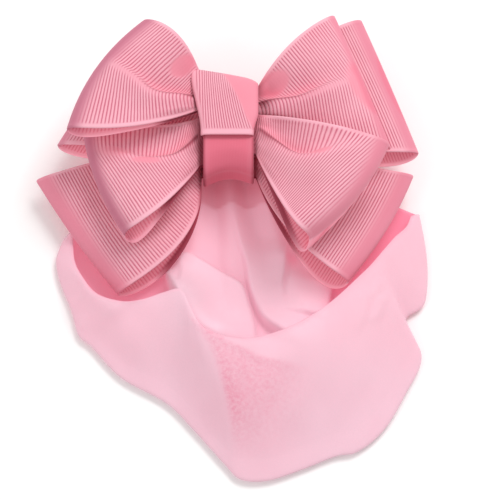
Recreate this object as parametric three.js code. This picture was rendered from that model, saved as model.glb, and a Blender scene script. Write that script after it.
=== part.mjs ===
// A ribbon bow hair clip with a sheer snood bag, lying face up on its clip and its bag.
// Millimetres. X runs to the right along the clip, Y away from the bag, Z up.
// The origin is the middle of the clip's flat underside, below the waist of the bow.
import * as THREE from "three";

// Cloth and clearances
const ribbonWall = 1;
const chiffonWall = 1;
const layerGap = 0.5;
const seatGap = 0.4;

// Clip
const clipLength = 60;
const clipWidth = 9;
const clipHeight = 7;
const clipEdge = 0.8;

// Bow
const waistWidth = 14.5;
const waistSlot = 4;
const frontReach = 38;
const backReach = 47;
const waistSpread = 19;
const bowLoft = 10;

// Wrap round the waist
const coverReach = 16.3;
const coverBend = 2;
const coverCrown = 1;
const coverRoll = 1.2;
const coverSkew = 4.4;
const bandWidth = 14;
const bandReach = 11;
const bandTuck = 3;

// Bag
const bagReach = 51;
const bagDrop = 95;
const bagLoft = 13;
const hemThickness = 2.6;
const gatherSpan = 56;
const gatherHeight = 3.2;
const gatherFolds = 7;

// Shapes of folds, as plain numbers: how blunt the bag's hem and a loop's folded edge are, how far
// out a loop opens widest, how much of the bag's loft is lost between its rim and its hem, and how
// far a fold on the bag has risen by the rim.
const hemBluntness = 6;
const loopBluntness = 22;
const gapeLean = 1.7;
const drapeFall = 0.75;
const rimFoldShare = 0.15;

// How finely each sheet is divided
const loopSteps = 9;
const loopStripes = 7;
const stripSteps = 3;
const coverStripes = 10;
const bandStripes = 8;
const bagColumns = 40;
const bagFrontSteps = 13;
const bagBackSteps = 13;

// Ribbon layers are stacked from the clip up, each loop with a back sheet and a front sheet.
const layerPitch = ribbonWall + layerGap;
const lowestLayer = clipHeight + seatGap + ribbonWall / 2;
const tierCount = 4;
const stackTop = lowestLayer + (2 * tierCount - 1) * layerPitch;

// One row for each loop. Places are [out, up] shares of the loop's reach, measured from the waist.
// Root heights across the ribbon are shares of the waist's spread, and rises are shares of the loft.
// rise, tip, gape and fold hold a value for the top edge and one for the foot edge: rise is that of
// the front sheet halfway out, tip is that of the fold, gape is the opening between the sheets, and
// fold is the thickness of the folded edge.
// crest lifts the pleat that runs out of the waist, and lip lowers the foot of the back sheet.
const loops = [
  {
    name: "lower_back_left_loop", tier: 0, side: -1, reach: backReach,
    root: [0.08, -0.45], topMid: [0.63, -0.065], topTip: [1.12, -0.2], crestMid: [0.46, -0.3],
    footMid: [0.25, -0.59], footTip: [0.636, -0.89], crestAt: 0.5,
    rise: [0.1, 0.4], tip: [-0.05, -0.1], gape: [0.02, 0.5], fold: [0.3, 0.5], crest: 0, lip: 0,
  },
  {
    name: "lower_back_right_loop", tier: 0, side: 1, reach: backReach,
    root: [0.08, -0.45], topMid: [0.653, -0.1], topTip: [1.081, -0.175], crestMid: [0.5, -0.31],
    footMid: [0.36, -0.56], footTip: [0.693, -0.827], crestAt: 0.5,
    rise: [0.1, 0.4], tip: [-0.05, -0.1], gape: [0.02, 0.5], fold: [0.3, 0.5], crest: 0, lip: 0,
  },
  {
    name: "upper_back_left_loop", tier: 1, side: -1, reach: backReach,
    root: [0.8, -0.1], topMid: [0.42, 0.49], topTip: [0.613, 0.588], crestMid: [0.52, 0.2],
    footMid: [0.571, -0.05], footTip: [0.995, -0.013], crestAt: 0.5,
    rise: [0.3, 0.31], tip: [0.1, 0.13], gape: [0.08, 0.12], fold: [0.28, 0.34], crest: 0, lip: 0.05,
  },
  {
    name: "upper_back_right_loop", tier: 1, side: 1, reach: backReach,
    root: [0.7, -0.1], topMid: [0.482, 0.601], topTip: [0.788, 0.783], crestMid: [0.57, 0.23],
    footMid: [0.652, -0.085], footTip: [1.109, -0.063], crestAt: 0.5,
    rise: [0.32, 0.38], tip: [0.1, 0.12], gape: [0.08, 0.12], fold: [0.28, 0.34], crest: 0, lip: 0.04,
  },
  {
    name: "lower_front_left_loop", tier: 2, side: -1, reach: frontReach,
    root: [0.32, -0.4], topMid: [0.633, 0.04], topTip: [1.055, 0.18], crestMid: [0.63, -0.22],
    footMid: [0.441, -0.579], footTip: [0.734, -0.756], crestAt: 0.4,
    rise: [0.55, 0.9], tip: [0.36, 0.5], gape: [0.1, 0.6], fold: [0.26, 0.6], crest: 0.25, lip: 0,
  },
  {
    name: "upper_front_right_loop", tier: 2, side: 1, reach: frontReach,
    root: [0.74, 0.34], topMid: [0.45, 0.635], topTip: [0.77, 0.923], crestMid: [0.67, 0.27],
    footMid: [0.696, -0.022], footTip: [1.163, -0.101], crestAt: 0.6,
    rise: [0.9, 0.65], tip: [0.5, 0.45], gape: [0.4, 0.1], fold: [0.32, 0.4], crest: 0.3, lip: 0,
  },
  {
    name: "upper_front_left_loop", tier: 3, side: -1, reach: frontReach,
    root: [0.92, 0.4], topMid: [0.37, 0.672], topTip: [0.626, 0.787], crestMid: [0.66, 0.24],
    footMid: [0.656, -0.058], footTip: [1.14, -0.039], crestAt: 0.6,
    rise: [1.0, 1.18], tip: [0.95, 1.0], gape: [0.4, 0.4], fold: [0.4, 0.55], crest: 0.35, lip: 0,
  },
  {
    name: "lower_front_right_loop", tier: 3, side: 1, reach: frontReach,
    root: [0.3, -0.3], topMid: [0.69, -0.035], topTip: [1.142, -0.162], crestMid: [0.68, -0.28],
    footMid: [0.404, -0.662], footTip: [0.579, -0.837], crestAt: 0.4,
    rise: [1.1, 1.05], tip: [1.0, 0.8], gape: [0.35, 0.8], fold: [0.4, 0.7], crest: 0.35, lip: 0,
  },
];

// One row for each section of the bag, from its left end to its right end.
// rim and edge are [x, y] shares of the bag's reach and drop, and lift is a share of its loft.
const bagSections = [
  { rim: [-0.84, -0.235], lift: 0.02, edge: [-0.89, -0.262] },
  { rim: [-0.825, -0.335], lift: 0.22, edge: [-0.924, -0.321] },
  { rim: [-0.77, -0.405], lift: 0.45, edge: [-0.901, -0.388] },
  { rim: [-0.69, -0.46], lift: 0.58, edge: [-0.836, -0.477] },
  { rim: [-0.56, -0.485], lift: 0.66, edge: [-0.796, -0.549] },
  { rim: [-0.45, -0.482], lift: 0.72, edge: [-0.72, -0.587] },
  { rim: [-0.343, -0.467], lift: 0.8, edge: [-0.562, -0.678] },
  { rim: [-0.247, -0.46], lift: 0.86, edge: [-0.322, -0.753] },
  { rim: [-0.199, -0.507], lift: 0.9, edge: [-0.167, -0.838] },
  { rim: [-0.14, -0.55], lift: 0.94, edge: [-0.014, -0.932] },
  { rim: [-0.04, -0.582], lift: 1, edge: [0.071, -0.976] },
  { rim: [0.097, -0.594], lift: 1, edge: [0.212, -0.979] },
  { rim: [0.234, -0.577], lift: 0.96, edge: [0.391, -0.947] },
  { rim: [0.371, -0.543], lift: 0.92, edge: [0.565, -0.909] },
  { rim: [0.499, -0.491], lift: 0.84, edge: [0.686, -0.894] },
  { rim: [0.596, -0.438], lift: 0.72, edge: [0.825, -0.83] },
  { rim: [0.683, -0.39], lift: 0.6, edge: [0.94, -0.726] },
  { rim: [0.76, -0.348], lift: 0.5, edge: [1.029, -0.616] },
  { rim: [0.831, -0.309], lift: 0.4, edge: [0.948, -0.507] },
  { rim: [0.898, -0.268], lift: 0.3, edge: [1.052, -0.452] },
  { rim: [0.96, -0.234], lift: 0.18, edge: [1.07, -0.324] },
  { rim: [0.99, -0.192], lift: 0.02, edge: [1.035, -0.184] },
];

// One row for each soft fold that runs over the front of the bag: where it starts and ends, as
// [share from left to right, share from rim to hem], and its height and width as shares of the loft.
const bagFolds = [
  { from: [0.36, 0.0], to: [0.5, 0.85], height: 0.22, width: 0.5 },
  { from: [0.12, 0.1], to: [0.3, 0.8], height: 0.16, width: 0.45 },
  { from: [0.62, 0.05], to: [0.7, 0.8], height: 0.2, width: 0.5 },
  { from: [0.84, 0.1], to: [0.8, 0.75], height: 0.14, width: 0.4 },
];

// One row for each pleat that lies on the inside of the bag: where its edge starts and ends, as
// [x, y] shares of the bag's reach and drop, and its height and how far it falls away on its left
// and its right, seen along the edge, as shares of the loft.
const bagPleats = [
  { from: [-0.2, -0.3], to: [0.1, -0.47], height: 0.12, left: 0.32, right: 0.75 },
  { from: [0.05, -0.24], to: [0.27, -0.54], height: 0.16, left: 0.75, right: 0.35 },
];

const lerp = THREE.MathUtils.lerp;

// A parabola through three values at 0, middle and 1.
function throughThree(first, second, third, middle, share) {
  const a = ((share - middle) * (share - 1)) / middle;
  const b = (share * (share - 1)) / (middle * (middle - 1));
  const c = (share * (share - middle)) / (1 - middle);
  return first * a + second * b + third * c;
}

// A smooth value along a list, passing through each entry at equal spacing.
function alongList(values, share) {
  const place = share * (values.length - 1);
  const index = Math.min(Math.floor(place), values.length - 2);
  const t = place - index;
  const before = values[Math.max(index - 1, 0)];
  const start = values[index];
  const end = values[index + 1];
  const after = values[Math.min(index + 2, values.length - 1)];
  const bend = 2 * before - 5 * start + 4 * end - after;
  const twist = 3 * (start - end) + after - before;
  return 0.5 * (2 * start + t * (end - before + t * (bend + t * twist)));
}

// How far the two sheets of a folded edge stand apart, from 1 inside to 0 at the fold.
function roundedFold(share, bluntness) {
  return Math.sqrt(Math.max(0, 1 - share ** bluntness));
}

// A pleat's height along its run: nothing at the waist, 1 at a third of the way, nothing at the fold.
function pleatRun(out) {
  return (27 / 4) * out * (1 - out) ** 2;
}

// Shares from 0 to 1 that crowd together toward the fold.
function towardFold(count) {
  return Array.from({ length: count + 1 }, (_, i) => Math.sin((i / count) * (Math.PI / 2)));
}

// A closed solid of even thickness round a grid of points, with a rim all the way round.
function clothFrom(rows, wall) {
  const rowCount = rows.length;
  const columnCount = rows[0].length;
  const corners = [];
  const along = new THREE.Vector3();
  const across = new THREE.Vector3();
  for (const face of [1, -1]) {
    for (let i = 0; i < rowCount; i++) {
      for (let j = 0; j < columnCount; j++) {
        along.subVectors(rows[Math.min(i + 1, rowCount - 1)][j], rows[Math.max(i - 1, 0)][j]);
        across.subVectors(rows[i][Math.min(j + 1, columnCount - 1)], rows[i][Math.max(j - 1, 0)]);
        const outward = new THREE.Vector3().crossVectors(along, across).normalize();
        corners.push(rows[i][j].clone().addScaledVector(outward, (face * wall) / 2));
      }
    }
  }
  const faces = [];
  const corner = (face, i, j) => face * rowCount * columnCount + i * columnCount + j;
  const quad = (a, b, c, d) => faces.push(a, b, c, a, c, d);
  for (let i = 0; i < rowCount - 1; i++) {
    for (let j = 0; j < columnCount - 1; j++) {
      quad(corner(0, i, j), corner(0, i + 1, j), corner(0, i + 1, j + 1), corner(0, i, j + 1));
      quad(corner(1, i, j), corner(1, i, j + 1), corner(1, i + 1, j + 1), corner(1, i + 1, j));
    }
  }
  const lastRow = rowCount - 1;
  const lastColumn = columnCount - 1;
  for (let i = 0; i < lastRow; i++) {
    quad(corner(1, i, 0), corner(1, i + 1, 0), corner(0, i + 1, 0), corner(0, i, 0));
    quad(corner(0, i, lastColumn), corner(0, i + 1, lastColumn),
      corner(1, i + 1, lastColumn), corner(1, i, lastColumn));
  }
  for (let j = 0; j < lastColumn; j++) {
    quad(corner(0, 0, j), corner(0, 0, j + 1), corner(1, 0, j + 1), corner(1, 0, j));
    quad(corner(1, lastRow, j), corner(1, lastRow, j + 1),
      corner(0, lastRow, j + 1), corner(0, lastRow, j));
  }
  const geometry = new THREE.BufferGeometry().setFromPoints(corners);
  geometry.setIndex(faces);
  geometry.computeVertexNormals();
  return geometry;
}

// A point of one ribbon loop. out runs from the waist to the fold, across from the top edge to
// the foot edge, and sheet is 1 on the front and -1 on the back.
function loopPoint(loop, out, across, sheet) {
  const rootOut = waistWidth / 2 + seatGap;
  const rootTop = loop.root[0] * waistSpread;
  const rootFoot = loop.root[1] * waistSpread;
  const rootCrest = lerp(rootTop, rootFoot, loop.crestAt);
  const tipCrest = [0, 1].map((k) => lerp(loop.topTip[k], loop.footTip[k], loop.crestAt));
  const rails = [
    [rootTop, loop.topMid, loop.topTip],
    [rootCrest, loop.crestMid, tipCrest],
    [rootFoot, loop.footMid, loop.footTip],
  ].map(([root, mid, tip]) => [
    throughThree(rootOut, mid[0] * loop.reach, tip[0] * loop.reach, 0.5, out),
    throughThree(root, mid[1] * loop.reach, tip[1] * loop.reach, 0.5, out),
  ]);
  const place = [0, 1].map((k) =>
    throughThree(rails[0][k], rails[1][k], rails[2][k], loop.crestAt, across));
  const swell = Math.sin(Math.PI * out ** gapeLean);
  const midRise = lerp(loop.rise[0], loop.rise[1], across);
  const tipRise = lerp(loop.tip[0], loop.tip[1], across);
  const gape = lerp(loop.gape[0], loop.gape[1], across);
  const fold = lerp(loop.fold[0], loop.fold[1], across);
  const crestShape = Math.max(0, 1 - Math.abs(across - loop.crestAt) / loop.crestAt);
  const rise = throughThree(0, midRise, tipRise, 0.5, out) + loop.crest * pleatRun(out) * crestShape;
  const rootHeight = lowestLayer + (2 * loop.tier + 1) * layerPitch;
  const apart = lerp(layerPitch, bowLoft * fold, out) + bowLoft * gape * swell;
  const front = rootHeight + bowLoft * rise;
  const height = front - (apart / 2) * (1 - sheet * roundedFold(out, loopBluntness));
  const lip = sheet < 0 ? loop.lip * loop.reach * across * swell : 0;
  return new THREE.Vector3(loop.side * place[0], place[1] - lip, height);
}

function ribbonLoop(loop) {
  const steps = towardFold(loopSteps);
  const route = [
    ...steps.map((out) => [out, 1]),
    ...steps.slice(0, -1).reverse().map((out) => [out, -1]),
  ];
  const stripes = Array.from({ length: loopStripes + 1 }, (_, j) => j / loopStripes);
  const ordered = loop.side > 0 ? stripes.slice().reverse() : stripes;
  const rows = route.map(([out, sheet]) =>
    ordered.map((across) => loopPoint(loop, out, across, sheet)));
  const neck = (row) => row.map((point) => new THREE.Vector3((loop.side * waistSlot) / 2, point.y, point.z));
  return clothFrom([neck(rows[0]), ...rows, neck(rows[rows.length - 1])], ribbonWall);
}

// How high the soft folds lift the front of the bag at a place on it.
function foldLift(across, down) {
  let lift = 0;
  for (const fold of bagFolds) {
    const run = THREE.MathUtils.clamp((down - fold.from[1]) / (fold.to[1] - fold.from[1]), 0, 1);
    const centre = lerp(fold.from[0], fold.to[0], run);
    const away = ((across - centre) * bagReach) / (fold.width * bagLoft);
    lift += fold.height * Math.exp(-away * away);
  }
  return lift * Math.sin(Math.PI * Math.min(1, down + rimFoldShare));
}

// A point on the front of the bag, from the rim at 0 to the hem at 1.
function bagFront(across, down) {
  const rim = [0, 1].map((k) => alongList(bagSections.map((row) => row.rim[k]), across));
  const edge = [0, 1].map((k) => alongList(bagSections.map((row) => row.edge[k]), across));
  const lift = alongList(bagSections.map((row) => row.lift), across);
  const drape = lift * (1 - drapeFall * down + foldLift(across, down));
  const height = chiffonWall / 2 + hemThickness + bagLoft * drape * (1 - down ** 2);
  return new THREE.Vector3(
    bagReach * lerp(rim[0], edge[0], down),
    bagDrop * lerp(rim[1], edge[1], down),
    lerp(chiffonWall / 2 + hemThickness / 2, height, roundedFold(down, hemBluntness)),
  );
}

// How high the pleats on the inside of the bag stand at a place on its back.
function pleatLift(x, y) {
  let lift = 0;
  for (const pleat of bagPleats) {
    const start = new THREE.Vector2(bagReach * pleat.from[0], bagDrop * pleat.from[1]);
    const run = new THREE.Vector2(bagReach * pleat.to[0], bagDrop * pleat.to[1]).sub(start);
    const away = new THREE.Vector2(x, y).sub(start);
    const share = away.dot(run) / run.lengthSq();
    const aside = run.cross(away) / run.length();
    const width = bagLoft * (aside > 0 ? pleat.left : pleat.right);
    const fade = Math.sin(Math.PI * THREE.MathUtils.clamp((share + 0.2) / 1.4, 0, 1));
    lift += bagLoft * pleat.height * fade * Math.exp(-((aside / width) ** 2));
  }
  return lift;
}

// A point on the back of the bag, from the hem at 0 to the gathers along the clip at 1.
function bagBack(across, up) {
  const edge = [0, 1].map((k) => alongList(bagSections.map((row) => row.edge[k]), across));
  const clipSide = -(clipWidth / 2 + seatGap + chiffonWall / 2);
  const gather = (across - 0.5) * gatherSpan;
  const pleat = (1 - Math.cos(2 * Math.PI * gatherFolds * across)) / 2;
  const hem = (hemThickness / 2) * (1 - roundedFold(1 - up, hemBluntness));
  const x = lerp(bagReach * edge[0], gather, up);
  const y = lerp(bagDrop * edge[1], clipSide, up);
  return new THREE.Vector3(x, y, chiffonWall / 2 + hem + gatherHeight * pleat * up ** 2 + pleatLift(x, y));
}

function snoodBag() {
  const front = towardFold(bagFrontSteps);
  const back = Array.from({ length: bagBackSteps }, (_, i) => (i + 1) / bagBackSteps);
  const columns = Array.from({ length: bagColumns + 1 }, (_, j) => j / bagColumns);
  const rows = [
    ...front.map((down) => columns.map((across) => bagFront(across, down))),
    ...back.map((up) => columns.map((across) => bagBack(across, up))),
  ];
  return clothFrom(rows, chiffonWall);
}

// A strip of ribbon along a route in the YZ plane. Toward its far end the two long edges roll in,
// and near that end it leans to one side by the skew.
function rolledStrip(route, width, roll, skew, stripes) {
  const path = new THREE.CatmullRomCurve3(route, false, "centripetal");
  const steps = path.getSpacedPoints(stripSteps * (route.length - 1));
  const rows = steps.map((point, i) => {
    const ahead = steps[Math.min(i + 1, steps.length - 1)];
    const behind = steps[Math.max(i - 1, 0)];
    const run = new THREE.Vector3().subVectors(ahead, behind).normalize();
    const inward = new THREE.Vector3(0, run.z, -run.y);
    const share = i / (steps.length - 1);
    const slant = skew * Math.sin(Math.PI * share ** 2) ** 2;
    return Array.from({ length: stripes + 1 }, (_, j) => {
      const side = (2 * j) / stripes - 1;
      const rolled = roll * share * (1 - Math.sqrt(Math.max(0, 1 - side ** 8)));
      return new THREE.Vector3(side * (width / 2), point.y - slant * side, point.z)
        .addScaledVector(inward, -rolled);
    });
  });
  return clothFrom(rows, ribbonWall);
}

// The folded piece over the middle: from the clip up behind the bow, then over it to its selvedge.
function knotCover() {
  const top = stackTop + 2 * layerPitch;
  const upper = coverReach;
  const under = lowestLayer + layerPitch / 2;
  const route = [
    new THREE.Vector3(0, clipWidth / 2 + seatGap + ribbonWall / 2, clipHeight / 2),
    new THREE.Vector3(0, clipWidth / 2 + seatGap + layerPitch, under),
    new THREE.Vector3(0, upper, under),
    new THREE.Vector3(0, upper + coverBend, lerp(under, top, 0.3)),
    new THREE.Vector3(0, upper + coverBend, lerp(under, top, 0.7)),
    new THREE.Vector3(0, upper, top),
    new THREE.Vector3(0, upper / 2, top + coverCrown),
    new THREE.Vector3(0, -ribbonWall, top + coverCrown),
  ];
  return rolledStrip(route, waistWidth, coverRoll, coverSkew / 2, coverStripes);
}

// The plain wrap that comes out below the cover and runs down the near side of the waist.
function knotBand() {
  const top = stackTop + layerPitch;
  const lower = -bandReach;
  const under = lowestLayer - layerPitch;
  const route = [
    new THREE.Vector3(0, bandTuck, top),
    new THREE.Vector3(0, lower * 0.6, top),
    new THREE.Vector3(0, lower, top - bandTuck),
    new THREE.Vector3(0, lower, (top + under) / 2),
    new THREE.Vector3(0, lower, under + layerPitch),
    new THREE.Vector3(0, lower * 0.85, under),
    new THREE.Vector3(0, -clipWidth / 2 - seatGap - ribbonWall / 2, under - ribbonWall),
  ];
  return rolledStrip(route, bandWidth, ribbonWall / 2, 0, bandStripes);
}

// The clasp: a flat bar with rounded ends.
function barretteClip() {
  const outline = new THREE.Shape();
  const half = clipLength / 2 - clipWidth / 2;
  outline.absarc(half, 0, clipWidth / 2 - clipEdge, -Math.PI / 2, Math.PI / 2, false);
  outline.absarc(-half, 0, clipWidth / 2 - clipEdge, Math.PI / 2, (3 * Math.PI) / 2, false);
  outline.closePath();
  const bar = new THREE.ExtrudeGeometry(outline, {
    depth: clipHeight - 2 * clipEdge,
    bevelThickness: clipEdge,
    bevelSize: clipEdge,
    bevelSegments: 2,
    curveSegments: 10,
  });
  return bar.translate(0, 0, clipEdge);
}

const ribbonPink = { color: 0xef93ac, roughness: 0.85, metalness: 0 };
const chiffonPink = { color: 0xf6c3d2, roughness: 0.8, metalness: 0 };
const steel = { color: 0xb8b8bc, roughness: 0.35, metalness: 1 };

function piece(name, geometry, finish) {
  const mesh = new THREE.Mesh(geometry, new THREE.MeshStandardMaterial(finish));
  mesh.name = name;
  return mesh;
}

const snood = new THREE.Group();
snood.add(piece("barrette_clip", barretteClip(), steel));
snood.add(piece("snood_bag", snoodBag(), chiffonPink));
for (const loop of loops) snood.add(piece(loop.name, ribbonLoop(loop), ribbonPink));
snood.add(piece("knot_band", knotBand(), ribbonPink));
snood.add(piece("knot_cover", knotCover(), ribbonPink));

export default snood;
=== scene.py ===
import math

import bpy
import numpy as np
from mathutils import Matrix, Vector


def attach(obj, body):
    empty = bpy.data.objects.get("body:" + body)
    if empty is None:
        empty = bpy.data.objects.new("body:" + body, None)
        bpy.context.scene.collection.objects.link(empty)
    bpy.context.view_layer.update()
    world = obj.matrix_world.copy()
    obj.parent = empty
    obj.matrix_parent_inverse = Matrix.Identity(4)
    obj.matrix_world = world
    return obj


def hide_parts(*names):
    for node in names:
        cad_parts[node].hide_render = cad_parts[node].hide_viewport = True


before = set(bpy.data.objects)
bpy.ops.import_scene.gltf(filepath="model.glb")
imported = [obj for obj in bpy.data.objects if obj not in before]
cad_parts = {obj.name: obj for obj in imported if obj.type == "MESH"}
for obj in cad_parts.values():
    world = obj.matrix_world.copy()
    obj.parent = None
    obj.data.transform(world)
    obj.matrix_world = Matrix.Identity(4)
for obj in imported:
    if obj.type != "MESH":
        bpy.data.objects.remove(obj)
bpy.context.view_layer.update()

bl_info = {
    "name": "Ribbon bow clip with snood bag",
    "version": (1, 0, 0),
    "blender": (4, 5, 0),
    "location": "View3D > Sidebar > Snood",
    "description": "Makes a grosgrain ribbon bow on a hair clip with a sheer chiffon bag",
    "category": "Add Mesh",
}

MM = 0.001

# The solids' own sizes, in millimetres.
RIBBON_WALL = 1
CHIFFON_WALL = 1
LAYER_GAP = 0.5
SEAT_GAP = 0.4
CLIP_WIDTH = 9
CLIP_HEIGHT = 7
WAIST_WIDTH = 14.5
WAIST_SLOT = 4
FRONT_REACH = 38
BACK_REACH = 47
WAIST_SPREAD = 19
BOW_LOFT = 10
COVER_REACH = 16.3
COVER_BEND = 2
COVER_CROWN = 1
COVER_ROLL = 1.2
COVER_SKEW = 4.4
BAND_REACH = 11
BAND_TUCK = 3
BAG_REACH = 51
BAG_DROP = 95
BAG_LOFT = 13
HEM_THICKNESS = 2.6
GATHER_SPAN = 56
GATHER_HEIGHT = 3.2
GATHER_FOLDS = 7
HEM_BLUNTNESS = 6
LOOP_BLUNTNESS = 22
DRAPE_FALL = 0.75
RIM_FOLD_SHARE = 0.15
WAIST_RIPPLE = 0.3
BAG_RIPPLE = 0.2
TIERS = 4
LAYER_PITCH = RIBBON_WALL + LAYER_GAP
LOWEST_LAYER = CLIP_HEIGHT + SEAT_GAP + RIBBON_WALL / 2
STACK_TOP = LOWEST_LAYER + (2 * TIERS - 1) * LAYER_PITCH

# How far marks on the ribbon spread, in millimetres: the smooth selvedge at a loop's top and foot,
# its soft end, the smooth band inside a fold, the deeper pink of painted shade and the painted
# shadow in the cleft by the knot, and the painted shade, the painted shadow in the cleft and the
# ridge along a crest as [above the crest, half width].
SELVEDGES = (0.45, 0.75)
SELVEDGE_BLEND = 0.5
INNER_BAND = 0.8
KNOT_SHADE = 2.6
KNOT_CLEFT = 0.75
VALLEY = (1.9, 1.9)
CLEFT = (0.45, 0.42)
RIDGE = (-0.6, 0.75)

# The line on the knot cover, in millimetres, with plain cloth to the right of it.
PLAIN_CORNER = [(-3, 21), (-1.7, 17.2), (2.4, 9.6), (5.2, 2.8), (7.6, -1)]

# The flat widths that the cloth is cut to, in metres.
LOOP_CUT = 0.038
KNOT_CUT = 0.0145
BAG_CUT = 0.16

PICTURE_MIDDLE = (6.01, -26.88, 0)
SENSOR_WIDTH = 36
ROOM_COLOUR = (1, 0.99, 0.985)
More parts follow.
